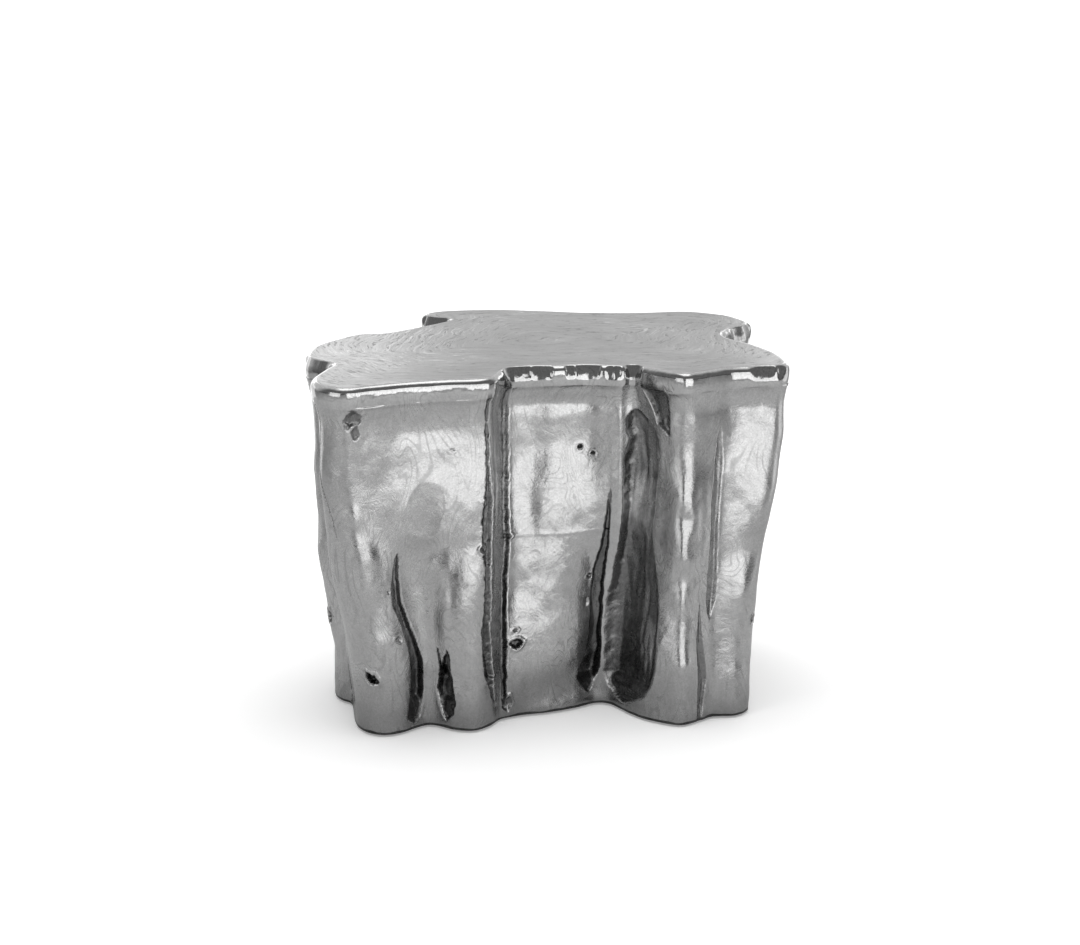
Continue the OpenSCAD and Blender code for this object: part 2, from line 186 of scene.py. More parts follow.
# ---------------- features of the skin
# Grooves run down the wall. ragged is how much their edges wander (mm), black how black they are.
# Each knot: height, outline parameter, half width, depth.
GROOVES = {
    "slit_left": dict(ragged=0.6, black=0.84, floor=0.6, knots=[
        (228, 53.48, 0.6, 0), (222, 53.45, 2.5, 4), (208, 53.38, 4.1, 6), (183, 53.29, 7, 7),
        (164, 53.27, 8, 8), (144, 53.40, 6.6, 8), (118, 53.52, 7, 8), (90, 53.62, 9.5, 9),
        (52, 53.60, 10.8, 10), (33, 53.54, 11.8, 10), (17, 53.48, 10, 9), (9, 53.48, 0.6, 0)]),
    "slit_mid": dict(ragged=1.3, black=0.9, floor=0.6, knots=[
        (104, 54.72, 0.6, 0), (96, 54.72, 2.4, 4), (91, 54.68, 5, 6), (75, 54.62, 9, 8),
        (52, 54.62, 12.5, 10), (32, 54.69, 12, 10), (22, 54.69, 9, 9), (12, 54.66, 0.6, 0)]),
    "slit_mid_tip": dict(ragged=0.6, black=1, knots=[
        (106, 54.36, 0.5, 0), (96, 54.40, 1.6, 3), (84, 54.46, 3, 6), (72, 54.52, 4, 6),
        (62, 54.56, 0.5, 0)]),
    "front_slit": dict(ragged=0.8, black=0.87, floor=0.6, knots=[
        (288, 4.30, 0.6, 0), (262, 4.25, 2.4, 3), (231, 4.21, 3, 5), (210, 4.17, 4.3, 6),
        (176, 3.98, 6.6, 7), (152, 3.94, 7, 8), (130, 3.94, 7.1, 8), (95, 3.90, 8.3, 9),
        (74, 3.85, 10.8, 10), (60, 3.71, 14.2, 11), (43, 3.60, 15.5, 11), (30, 3.62, 10.5, 9),
        (18, 3.70, 0.6, 0)]),
    # front_hollow's black is partly patina and partly painted shade, for the dark reflection in the hollow.
    "front_hollow": dict(ragged=0.8, black=0.82, floor=0.72, knots=[
        (385, 6.10, 1, 0), (379, 6.30, 6, 4), (372, 6.60, 13, 7), (360, 6.85, 18, 9),
        (346, 7.02, 20, 10), (323, 6.96, 22, 10), (290, 6.79, 20, 9), (260, 6.75, 20, 9),
        (234, 6.65, 21, 9), (216, 6.71, 25, 10), (191, 6.71, 31, 11), (165, 6.73, 37, 12),
        (135, 6.71, 42, 12), (100, 6.68, 44, 12), (69, 6.67, 45, 12), (45, 6.52, 43, 12),
        (30, 6.35, 36, 10), (20, 6.12, 20, 7), (12, 6.10, 1, 0)]),
    # arch's black is partly patina and partly painted shade, for the dark reflection in this shallow
    # hollow.
    "arch": dict(ragged=0.9, black=1, floor=0.6, knots=[
        (423, 7.05, 5, 0), (419, 7.17, 13, 2), (414, 7.50, 20, 4), (408, 7.69, 19, 5),
        (396, 7.80, 15, 5), (384, 7.95, 12, 5), (372, 8.00, 10, 4), (364, 8.20, 4, 3),
        (358, 8.30, 0.6, 0)]),
    "left_line": dict(ragged=0.2, black=0.9, floor=0.4, knots=[
        (426, 49.98, 1.5, 0), (414, 49.96, 2.2, 2), (331, 49.82, 1.4, 2), (296, 50.25, 1.4, 2),
        (269, 50.54, 1, 1.5), (250, 50.66, 0.5, 0)]),
    "fold_high": dict(ragged=0.5, black=0.5, floor=0.5, knots=[
        (368, 10.70, 0.8, 0), (350, 10.69, 3.6, 2), (326, 10.69, 5, 3), (276, 10.62, 6.2, 3.5),
        (226, 10.67, 5.6, 4), (176, 10.75, 7, 4), (150, 10.75, 6, 4), (126, 10.75, 0.8, 0)]),
    "fold_low": dict(ragged=0.5, black=0.6, floor=0.5, knots=[
        (152, 10.10, 0.8, 0), (138, 10.12, 2.4, 3), (106, 10.12, 6.2, 4), (54, 10.29, 8.2, 4),
        (25, 10.15, 5.5, 4), (3, 10.04, 4, 3)]),
    "crease_left": dict(ragged=2.2, black=0.9, knots=[
        (424, 56.60, 2, 1), (400, 56.62, 4, 3), (350, 56.66, 2.5, 2), (300, 56.62, 4, 4),
        (286, 56.62, 8, 6), (240, 56.66, 8, 6), (200, 56.74, 5, 4), (150, 56.80, 6, 4),
        (110, 56.90, 9, 7), (70, 57.10, 9, 7), (40, 57.4, 4, 4), (30, 57.5, 1, 0)]),
    "crease_right": dict(ragged=1, black=0.8, knots=[
        (430, 59.00, 5, 4), (380, 59.00, 5, 5), (300, 59.00, 5, 6), (220, 58.95, 6, 6),
        (160, 58.90, 6.5, 7), (100, 58.90, 6, 7), (50, 58.95, 5, 6), (16, 59.00, 3, 3)]),
    # The hidden sides carry cracks and folds of the same kinds.
    "right_crack": dict(ragged=1.2, black=1, knots=[
        (300, 18.1, 0.6, 0), (270, 18.1, 4, 5), (220, 18.2, 6, 7), (160, 18.3, 8, 8),
        (90, 18.4, 9, 9), (40, 18.5, 7, 9), (20, 18.5, 1, 0)]),
    "right_slit": dict(ragged=0.7, black=1, knots=[
        (150, 16.2, 0.6, 0), (130, 16.2, 3, 4), (90, 16.1, 5, 7), (50, 16.1, 7, 8),
        (20, 16.2, 6, 7), (12, 16.2, 0.6, 0)]),
    "back_right_fold": dict(ragged=0.6, black=0.6, knots=[
        (380, 27.6, 1, 0), (340, 27.6, 5, 4), (250, 27.5, 6, 5), (150, 27.6, 7, 5),
        (60, 27.7, 6, 5), (16, 27.8, 1, 0)]),
    "back_slit_long": dict(ragged=0.9, black=1, knots=[
        (330, 31.2, 0.6, 0), (300, 31.2, 3, 4), (240, 31.3, 5, 7), (180, 31.25, 5, 7),
        (130, 31.4, 7, 8), (70, 31.45, 9, 9), (24, 31.4, 8, 8), (12, 31.4, 0.6, 0)]),
    "back_slit_short": dict(ragged=1.1, black=1, knots=[
        (120, 29.4, 0.6, 0), (100, 29.4, 3, 4), (60, 29.35, 7, 8), (30, 29.3, 8, 8),
        (14, 29.3, 0.6, 0)]),
    "back_left_crease": dict(ragged=1.4, black=0.9, knots=[
        (425, 37, 3, 2), (370, 37, 6, 5), (280, 37, 7, 6), (180, 37, 7, 6),
        (90, 37, 8, 7), (20, 37, 4, 3)]),
    "back_left_hollow": dict(ragged=1.3, black=0.85, floor=0.5, knots=[
        (250, 40.2, 1, 0), (220, 40.2, 8, 5), (160, 40.1, 15, 8), (100, 40, 18, 9),
        (50, 40, 15, 9), (22, 40, 1, 0)]),
    "left_slit": dict(ragged=0.8, black=1, knots=[
        (210, 43.6, 0.6, 0), (190, 43.6, 3, 4), (140, 43.7, 5, 7), (80, 43.6, 8, 8),
        (30, 43.6, 7, 8), (14, 43.6, 0.6, 0)]),
    "left_crease": dict(ragged=1, black=0.8, knots=[
        (428, 47, 2, 1), (380, 47, 3.5, 3), (280, 47, 4, 4), (180, 47, 4, 4),
        (80, 47, 4, 3), (20, 47, 3, 2)]),
}
# Islands where a groove's patina has worn through: height, parameter, half width, half height, amount.
WORN = [
    (266, 6.66, 13, 34, 0.7), (330, 6.90, 9, 22, 0.5), (95, 7.40, 14, 26, 0.6), (150, 6.9, 6, 40, 0.3),
    (205, 53.36, 5, 30, 0.35), (160, 39.9, 8, 40, 0.5),
]
# Knots and pits: height, parameter, half width, half height, depth, raised lip, blackness.
PITS = [
    (75, 51.42, 7.5, 7, 8, 1.6, 1), (79, 51.12, 2, 5, 2, 0.8, 0.6),
    (97, 0.62, 9, 6, 6, 1.5, 0.9), (113, 0.60, 4, 2.2, 3, 1.2, 0.8),
    (335, 2.83, 4, 4, 6, 0.5, 1), (327, 3.29, 3.2, 3.2, 5, 0.4, 1),
    (171, 3.54, 4.5, 3, 2.5, 0.3, 0.6), (140, 3.42, 5, 7, 1.5, 0, 0.15),
    # The pit at 399 mm, parameter 52.20, carries a painted dark reflection in its black.
    (399, 52.20, 15, 11, 3.5, 0, 0.85), (384, 52.42, 7, 9, 2, 0, 0.8),
    (122, 53.10, 5, 5, 2, 0.4, 0.5), (182, 53.02, 2.2, 2.8, 2, 0, 0.8),
    (150, 54.10, 2.4, 2.4, 1.5, 0.2, 0.4), (352, 55.20, 4, 2.2, 1.2, 0.3, 0.3),
    (20, 0.25, 6, 9, 3, 1.5, 0.4),
    (285, 56.48, 3, 4, 2, 1, 0.7), (228, 56.4, 5, 4, 2.5, 1.4, 0.6),
    (230, 59.2, 4, 3, 2.5, 1.6, 0.7),
    (250, 14.6, 8, 9, 7, 1.6, 1), (120, 13.2, 6, 6, 5, 1.2, 0.8),
    (180, 22.4, 9, 8, 7, 1.6, 1), (320, 24, 4, 4, 5, 0.6, 1),
    (308, 24.4, 3.2, 3.2, 4, 0.4, 1), (260, 33, 8, 8, 7, 1.6, 1),
    (90, 34.2, 6, 7, 5, 1.2, 0.9), (340, 41.4, 7, 6, 6, 1.4, 0.9),
    (110, 45.2, 8, 8, 7, 1.6, 1), (300, 44.6, 4, 4, 4, 0.6, 0.9),
]
# Swellings that catch the light: height, parameter, half width, half height, height out.
SWELLS = [
    # left lobe of the front
    (288, 54.4, 46, 60, 7), (205, 52.2, 26, 36, 2.2), (150, 55, 24, 26, 2.6), (110, 52, 22, 22, 2),
    (276, 52.1, 12, 14, 1.8), (226, 52.6, 11, 13, 1.6), (208, 54.5, 15, 15, 3), (250, 54.3, 26, 12, 2.4),
    (84, 54, 14, 16, 1.2), (375, 54.6, 60, 14, -2.2),
    # front panel
    (140, 1.3, 16, 14, 1.2), (262, 2.3, 50, 70, 7.5), (392, 2, 60, 10, -2), (110, 2, 40, 60, 3),
    (32, 2.5, 46, 26, -4.5), (275, 1.38, 16, 38, 1.5),
    # right lobe
    (330, 9.05, 14, 90, -5), (245, 9, 30, 85, 4), (262, 12.3, 26, 44, 5), (160, 12.2, 22, 34, 4.4),
    (300, 9.2, 14, 40, 2), (205, 9.2, 22, 14, 2), (78, 9.2, 16, 12, 2), (286, 8.9, 9, 16, 1.5),
    (254, 9.15, 10, 13, -1.6), (224, 8.95, 10, 13, 1.5), (184, 9.15, 11, 14, -1.6),
    (152, 8.95, 12, 15, 1.5),
    # right side, back and left side
    (230, 16, 40, 60, 3), (120, 21, 40, 50, 3), (300, 25.5, 45, 60, 3.5), (200, 30, 50, 60, 3.2),
    (120, 33, 40, 50, 3), (330, 32, 50, 40, -2.5), (240, 41.5, 45, 60, 3.2), (150, 45, 40, 60, 3),
    (320, 50, 34, 50, 3),
]
# The back is hammered more boldly than the front: parameter, half width, edge, extra waviness.
BOLD_BACK = [(31, 17, 2, 0.7)]
EDGE_BLUR = 3  # width (mm) over which the black in a groove sets in
# The weld across the front panel: middle (parameter), half width, edge, lean of the casting above it.
WELD_S, WELD_HALF, WELD_EDGE, WELD_LEAN = 2.05, 78, 14, 2.4
# How far (mm) the skin may go: out, in, in at the base plate, in at a bracket.
MAX_OUT, MAX_IN, PLATE_IN, BRACKET_IN = 6.0, 18, 4.6, 3.6
BRACKET_REACH = (0.75, 0.5, 1)  # half width, edge and amount of a bracket's place, as in hump


def hump(s, centres):
    """Rises to 1 within each (parameter, half width, edge, amount), scaled by the amount."""
    total = np.zeros(len(s))
    for centre, half, edge, amount in centres:
        away = np.abs((s - centre + POINTS / 2) % POINTS - POINTS / 2)
        total = np.maximum(total, amount * (1 - smooth((away - half + edge) / (2 * edge))))
    return total


def arc_table(s, z):
    """Distance along the outline (mm) from s[0], for each row, and each row's whole length."""
    ring = base_outline(s, z)
    step = np.linalg.norm(np.diff(ring, axis=1, append=ring[:, :1]), axis=-1)
    arc = np.concatenate([np.zeros((len(z), 1)), np.cumsum(step, axis=1)], axis=1)
    return arc[:, :-1], arc[:, -1]


class Skin:
    """The displaced skin on a grid of heights z and parameters s that goes once round."""

    def __init__(self, s, z):
        self.s, self.z = s, z
        self.plain, self.out = outline(s, z)
        self.arc, self.girth = arc_table(s, z)
        shape = self.plain.shape[:2]
        self.grid = np.dstack([self.plain, np.broadcast_to(z[:, None], shape)])
        self.shift = self.undulation() * (1 + hump(s, BOLD_BACK))  # mm outwards
        self.black = np.full(shape, -1.0)  # above 0 inside a blackened edge, fading over 3 mm
        self.tone = np.zeros(shape)  # how black it is there
        for swell in SWELLS:
            self.add_swell(*swell)
        for groove in GROOVES.values():
            self.add_groove(**groove)
        for pit in PITS:
            self.add_pit(*pit)
        self.add_weld()
        self.add_foot_shadow()
        for island in WORN:
            self.add_worn(*island)

    def undulation(self):
        """Waviness of the hand-worked surface, in four sizes, drawn out upwards."""
        p = self.grid * np.array([1, 1, 0.75])
        shift = 4.2 * noise_a(p / 64)
        shift += 1.5 * noise_b(p / 32)
        shift += 0.45 * noise_c(p / 15)
        shift += 0.10 * noise_a(p / 6 + 7)
        return shift

    def distance(self, centre):
        """Signed distance along each row from the parameter centre (one for each row)."""
        s = np.append(self.s, POINTS)
        full = np.concatenate([self.arc, self.girth[:, None]], axis=1)
        at = np.array([np.interp(c % POINTS, s, row) for c, row in zip(centre, full)])
        d = self.arc - at[:, None]
        girth = self.girth[:, None]
        return (d + girth / 2) % girth - girth / 2

    def around(self, height, parameter, half_w, half_h):
        """Distances across and up from a place, in its half width and half height."""
        d = self.distance(np.full(len(self.z), float(parameter))) / half_w
        return d, np.broadcast_to((self.z[:, None] - height) / half_h, d.shape)

    def blacken(self, near, inside, amount):
        """inside is the way in from the blackened edge, 1 for EDGE_BLUR mm; it is negative outside."""
        self.black[near] = np.maximum(self.black[near], np.clip(inside, -1, 1))
        self.tone[near] = np.maximum(self.tone[near], amount)

    def add_swell(self, height, parameter, half_w, half_h, out):
        d, v = self.around(height, parameter, half_w, half_h)
        self.shift += out * np.exp(-(d * d + v * v))

    def add_groove(self, knots, ragged, black, floor=0.35):
        """Its floor is flat out to that part of the half width, with ribs and flakes along it."""
        k = np.array(sorted(knots), float)
        half = np.interp(self.z, k[:, 0], k[:, 2])[:, None]
        depth = np.interp(self.z, k[:, 0], k[:, 3])[:, None]
        d = self.distance(np.interp(self.z, k[:, 0], k[:, 1]))
        high = (self.z >= k[0, 0]) & (self.z <= k[-1, 0])
        near = high[:, None] & (np.abs(d) < 3 * half + 4 * ragged)
        d, p = d[near], self.grid[near]
        half, depth = (np.broadcast_to(v, near.shape)[near] for v in (half, depth))
        wobble = ragged * (noise_b(p / np.array([9, 9, 14])) + 0.6 * noise_c(p / 4.5))
        x = (np.abs(d) + 2 * wobble) / half
        fall = 1 - smooth((x - floor) / (1.08 - floor))
        ribs = 0.28 * np.sin(d * 0.5 + 11 * noise_a(p / np.array([26, 26, 70])))
        flakes = 1.2 * noise_c(p / np.array([11, 11, 48])) + 0.3 * noise_b(p / np.array([4, 4, 12]))
        lip = 0.12 * np.exp(-((x - 1.25) / 0.22) ** 2) * np.minimum(depth / 6, 1)
        self.shift[near] += lip - fall * (depth - (ribs + flakes) * (depth > 3))
        self.blacken(near, (1 - x) * half / EDGE_BLUR, black * np.clip((1 - x) * 3 + 0.5, 0, 1))

    def add_pit(self, height, parameter, half_w, half_h, depth, lip, black):
        """A ragged hole with a raised lip."""
        d, v = self.around(height, parameter, half_w, half_h)
        near = np.hypot(d, v) < 4
        d, v, p = d[near], v[near], self.grid[near]
        r = np.hypot(d, v) + 0.7 * noise_b(p / 8) + 0.3 * noise_c(p / 3.5)
        raised = lip * np.exp(-((r - 1.25) / 0.3) ** 2)
        self.shift[near] += raised - depth * (1 - smooth((r - 0.35) / 0.7))
        inside = (1 - r) * min(half_w, half_h) / EDGE_BLUR
        self.blacken(near, inside, black * np.clip(inside * 3 + 0.5, 0, 1))

    def add_foot_shadow(self):
        """Painted shadow along the lowest few millimetres: a black line for the shade in the gap under the
        wall.
        """
        high = FLOOR_GAP + 3.2 + 2 * noise_a(self.grid / 17)
        near = np.clip((high - self.grid[..., 2]) / 2, -1, 1)
        self.black = np.maximum(self.black, near)
        self.tone = np.maximum(self.tone, 0.85 * (near > -0.6))

    def add_worn(self, height, parameter, half_w, half_h, amount):
        """Metal showing through the black of a groove, in a ragged patch."""
        d, v = self.around(height, parameter, half_w, half_h)
        r = np.hypot(d, v) + 0.9 * noise_b(self.grid / np.array([7, 7, 22]))
        self.tone *= 1 - amount * (1 - smooth((r - 0.6) / 0.8))

    def add_weld(self):
        """The weld across the front panel: a small step, a lumpy bead and a lean above it."""
        d = self.distance(np.full(len(self.z), WELD_S))
        across = smooth((WELD_HALF - np.abs(d)) / WELD_EDGE)
        wave = 1.8 * noise_a(self.grid / 22)
        v = self.z[:, None] - WELD_Z - wave
        lean = np.where(v > 0, 1 - np.exp(-v / 30), 0) * (1 - smooth((self.z[:, None] - 330) / 60))
        bead = np.exp(-(v / 1.6) ** 2) * (0.35 + 0.6 * noise_b(self.grid / 6))
        self.shift += across * (bead - WELD_LEAN * lean)


def fade_shift(skin):
    """Keeps the skin within the rim, near its plain outline at the foot, and clear of what is inside."""
    under_rim = smooth((ROUND_Z + 4 - skin.z) / 40)[:, None]  # 0 at the rim, 1 from 40 mm below it
    at_foot = 0.35 + 0.65 * smooth((skin.z - FLOOR_GAP) / 20)[:, None]
    outward = np.minimum(skin.shift, MAX_OUT * (1 + under_rim) / 2) * (0.35 + 0.65 * under_rim)
    inward = skin.shift * (0.25 + 0.75 * under_rim)
    skin.shift = np.where(skin.shift > 0, outward, inward) * at_foot
    near_plate = PLATE_IN + 14 * smooth((np.abs(skin.z - BASE_PLATE_Z) - 6) / 24)[:, None]
    skin.shift = np.maximum(skin.shift, -near_plate)
    at_top = hump(skin.s, [(s, *BRACKET_REACH) for s in TOP_BRACKETS])[None]
    at_base = hump(skin.s, [(s, *BRACKET_REACH) for s in BASE_BRACKETS])[None]
    at_bracket = np.maximum(at_top * smooth((skin.z - 345) / 25)[:, None],
                            at_base * smooth((82 - skin.z) / 16)[:, None])
    skin.shift = np.maximum(skin.shift, (MAX_IN - BRACKET_IN) * at_bracket - MAX_IN)


# ---------------- meshes
MM = 0.001


def tri_strip(a, ta, b, tb):
    """Triangles between two lines of vertices a and b, whose places along the line are ta and tb."""
    faces, i, j = [], 0, 0
    while i < len(a) - 1 or j < len(b) - 1:
        if j == len(b) - 1 or (i < len(a) - 1 and ta[i + 1] <= tb[j + 1]):
            faces.append((a[i], a[i + 1], b[j]))
            i += 1
        else:
            faces.append((a[i], b[j + 1], b[j]))
            j += 1
    return faces


def grid_quads(index):
    """Quads of a grid of vertex numbers."""
    a, b, c, d = index[:-1, :-1], index[:-1, 1:], index[1:, 1:], index[1:, :-1]
    return np.stack([a, b, c, d], -1).reshape(-1, 4)


def make_piece(name, verts, faces, materials, kinds, values, normals=None):
    """A mesh object from vertices in mm. kinds numbers each face's material; kind 0 is the outside,
    which is shaded smooth, with the given normals if any. values are stored on the vertices."""
    mesh = bpy.data.meshes.new(name)
    mesh.from_pydata((verts * MM).tolist(), [], faces)
    kinds = np.asarray(kinds, np.int32)
    mesh.polygons.foreach_set("material_index", kinds)
    mesh.polygons.foreach_set("use_smooth", kinds == 0)
    for key, value in values.items():
        layer = mesh.attributes.new(key, "FLOAT", "POINT")
        layer.data.foreach_set("value", value.astype(np.float32))
    mesh.update()
    if normals is not None:
        loops = np.empty(len(mesh.loops), np.int32)
        mesh.loops.foreach_get("vertex_index", loops)
        sizes = np.array([len(f) for f in faces])
        face_kind = np.repeat(kinds, sizes)
        flat = np.empty(len(mesh.polygons) * 3, np.float32)
        mesh.polygons.foreach_get("normal", flat)
        flat = np.repeat(flat.reshape(-1, 3), sizes, axis=0)
        shade = np.where((face_kind == 0)[:, None], normals[loops], flat)
        mesh.normals_split_custom_set(shade.tolist())
    for material in materials:
        mesh.materials.append(material)
    piece = bpy.data.objects.new(name, mesh)
    bpy.context.scene.collection.objects.link(piece)
    return piece


# ---------------- materials
MIX_FACTOR, MIX_A, MIX_B, MIX_RESULT = 0, 6, 7, 2  # sockets of a Mix node set to colours
NOISE_LOW, NOISE_HIGH = 0.3, 0.7  # the range that most of a noise is in


class Nodes:
    """Adds shader nodes to a tree. An input that is another node's socket is linked, others are set."""

    def __init__(self, tree):
        self.tree = tree

    def put(self, socket, value):
        if isinstance(value, bpy.types.NodeSocket):
            self.tree.links.new(value, socket)
        else:
            socket.default_value = value

    def node(self, kind, inputs=None, **settings):
        made = self.tree.nodes.new("ShaderNode" + kind)
        for key, value in settings.items():
            setattr(made, key, value)
        for key, value in (inputs or {}).items():
            self.put(made.inputs[key], value)
        return made

    def math(self, operation, a, b=0.0, c=0.0, clamp=False):
        return self.node("Math", {0: a, 1: b, 2: c}, operation=operation, use_clamp=clamp).outputs[0]

    def times(self, a, b, clamp=False):
        return self.math("MULTIPLY", a, b, clamp=clamp)

    def vector(self, operation, a, b):
        return self.node("VectorMath", {0: a, 1: b}, operation=operation).outputs[0]

    def axes(self, vector):
        return self.node("SeparateXYZ", {0: vector}).outputs

    def noise(self, where, scale, detail=3.0, rough=0.5, distortion=0.0, output="Fac"):
        return self.node("TexNoise", {"Vector": where, "Scale": scale, "Detail": detail, "Roughness": rough,
                                      "Distortion": distortion}).outputs[output]

    def remap(self, value, low, high, to_low, to_high, soft=False):
        kind = "SMOOTHSTEP" if soft else "LINEAR"
        return self.node("MapRange", {"Value": value, "From Min": low, "From Max": high, "To Min": to_low,
                                      "To Max": to_high}, interpolation_type=kind).outputs[0]

    def spread(self, noise, low, high):
        """Low to high, as the noise has it."""
        return self.remap(noise, NOISE_LOW, NOISE_HIGH, low, high)

    def vary(self, tone, noise, low, high):
        """The tone times low to high, as the noise has it."""
        return self.times(tone, self.spread(noise, low, high))

    def grey(self, value):
        return self.node("CombineColor", {0: value, 1: value, 2: value}).outputs[0]

    def mix(self, factor, a, b):
        made = self.node("Mix", data_type="RGBA")
        for number, value in ((MIX_FACTOR, factor), (MIX_A, a), (MIX_B, b)):
            self.put(made.inputs[number], value)
        return made.outputs[MIX_RESULT]

    def bump(self, height, distance, strength=1.0, under=None):
        inputs = {"Height": height, "Distance": distance, "Strength": strength}
        if under is not None:
            inputs["Normal"] = under
        return self.node("Bump", inputs).outputs[0]

    def attribute(self, name):
        return self.node("Attribute", attribute_name=name).outputs["Fac"]


class Look(Nodes):
    """A node material round one Principled shader."""

    def __init__(self, name, **values):
        self.material = bpy.data.materials.new(name)
        self.material.use_nodes = True
        super().__init__(self.material.node_tree)
        self.shader = self.tree.nodes["Principled BSDF"]
        self.set(**values)
        self.place = self.node("TexCoord").outputs["Object"]

    def set(self, **values):
        for key, value in values.items():
            self.put(self.shader.inputs[key.replace("_", " ")], value)


def cast_look(name, bright, rough, grain):
    """Polished cast metal: figured like burl wood, brushed by hand, with black left in its cracks, and
    painted shade low down.
    bright is its middle tone, and grain scales its bumps."""
    look = Look(name, Metallic=1.0)
    # Everything drawn out upwards follows a place that a slow noise has swirled.
    cloud = look.noise(look.place, 9, 4, 0.6, output="Color")
    swirl = look.vector("MULTIPLY", look.vector("SUBTRACT", cloud, (0.5, 0.5, 0.5)), (0.16, 0.16, 0.16))
    turned = look.vector("ADD", look.place, swirl)
    hairs = look.noise(look.vector("MULTIPLY", turned, (1, 1, 0.22)), 420, 3, 0.6)
    marks = look.noise(look.vector("MULTIPLY", turned, (1, 1, 0.35)), 120, 4, 0.65, 0.8)
    patch = look.noise(look.place, 16, 4, 0.6, 0.6)
    speck = look.noise(look.place, 480, 3, 0.7)
    # Figure: the contour lines of a slow noise, fading in and out.
    field = look.noise(look.vector("MULTIPLY", look.place, (1, 1, 0.5)), 11, 2, 0.45, 0.9)
    contour = look.math("PINGPONG", look.times(field, 26), 0.5)
    contour = look.remap(contour, 0.03, 0.20, 1, 0, soft=True)
    contour = look.times(contour, look.remap(patch, 0.42, 0.62, 0, 1, soft=True))
    tone = look.spread(patch, bright * 0.86, bright * 1.08)
    tone = look.vary(tone, marks, 0.90, 1.07)
    tone = look.vary(tone, speck, 0.88, 1.12)
    tone = look.times(tone, look.remap(contour, 0, 1, 1, 0.82))
    height = look.axes(look.place)[2]
    # Painted shade: the tone darkens towards the floor, for the shadowed floor that the metal reflects low
    # down.
    tone = look.times(tone, look.remap(height, 0.0, 0.08, 0.74, 1))
    # Black in the cracks, and painted shade at the foot and in some hollows: denser low down, with a ragged
    # edge.
    edge = look.attribute("edge")
    ragged = look.math("ADD", edge, look.spread(marks, -0.22, 0.22))
    inside = look.remap(ragged, -0.02, 0.22, 0, 1, soft=True)
    soot_and_shade = look.times(inside, look.attribute("soot_and_shade"), clamp=True)
    soot_and_shade = look.times(soot_and_shade, look.remap(marks, 0.25, 0.75, 1.12, 0.78), clamp=True)
    dark = look.vary(look.remap(height, 0.05, 0.13, 0.014, 0.062, soft=True), hairs, 0.6, 1.4)
    look.set(Base_Color=look.mix(soot_and_shade, look.grey(tone), look.grey(dark)))
    polish = look.remap(patch, 0.35, 0.65, rough * 0.8, rough * 1.35)
    polish = look.math("ADD", polish, look.spread(hairs, -0.03, 0.05))
    polish = look.math("ADD", polish, look.times(contour, 0.08))
    look.set(Roughness=look.math("ADD", polish, look.times(soot_and_shade, 0.06), clamp=True))
    rise = look.bump(hairs, 0.0004 * grain, 0.35)
    carved = look.math("SUBTRACT", marks, look.times(contour, 0.12))
    look.set(Normal=look.bump(carved, 0.0008 * grain, 0.35, under=rise))
    return look.material


def top_look():
    """Satin top: strokes, dark pores and pale scratches along the growth rings stored on the mesh."""
    look = Look("satin_top", Metallic=1.0)
    x, y, _ = look.axes(look.place)
    wander = look.noise(look.place, 22, 3, 0.6)
    ring = look.math("ADD", look.attribute("ring"), look.times(wander, 0.010))

    def strokes(across, along, detail=3.0):
        """Noise drawn out along the rings; both scales are in features per metre."""
        scaled = [look.times(value, scale) for value, scale in ((ring, across), (x, along), (y, along))]
        where = look.node("CombineXYZ", dict(enumerate(scaled))).outputs[0]
        return look.noise(where, 1.0, detail, 0.6)

    fine = strokes(330, 20)
    broad = strokes(95, 8)
    pores = look.remap(strokes(300, 52, 2.0), 0.57, 0.68, 0, 1, soft=True)
    thread = look.math("PINGPONG", look.times(strokes(70, 7, 2.0), 9), 0.5)
    thread = look.remap(thread, 0.02, 0.10, 1, 0, soft=True)
    patch = look.noise(look.place, 7, 3, 0.5)
    thread = look.times(thread, look.remap(patch, 0.45, 0.65, 0, 1, soft=True))
    speck = look.noise(look.place, 700, 2, 0.6)
    tone = look.spread(patch, 0.44, 0.51)
    tone = look.vary(tone, fine, 0.84, 1.12)
    tone = look.vary(tone, broad, 0.90, 1.07)
    tone = look.vary(tone, speck, 0.94, 1.06)
    tone = look.times(tone, look.remap(pores, 0, 1, 1, 0.76))
    tone = look.times(tone, look.remap(thread, 0, 1, 1, 1.45))
    look.set(Base_Color=look.grey(tone))
    polish = look.spread(broad, 0.28, 0.40)
    look.set(Roughness=look.math("ADD", polish, look.times(pores, 0.15)))
    rise = look.bump(look.math("SUBTRACT", fine, look.times(pores, 0.8)), 0.0008, 0.6)
    look.set(Normal=look.bump(broad, 0.0012, 0.5, under=rise))
    return look.material


def plain_look(name, color, metallic, rough, scale, bump, vary=0.25):
    """A fixing's finish: noise in its tone, roughness and surface."""
    look = Look(name, Metallic=metallic)
    fine = look.noise(look.place, scale, 4, 0.6)
    broad = look.noise(look.place, scale / 12, 3, 0.55)
    low = (*[c * (1 - vary) for c in color], 1)
    high = (*[min(1, c * (1 + vary)) for c in color], 1)
    look.set(Base_Color=look.mix(look.spread(broad, 0, 1), low, high))
    look.set(Roughness=look.spread(fine, rough * 0.8, min(1, rough * 1.25)))
    look.set(Normal=look.bump(fine, bump, 0.5))
    return look.material


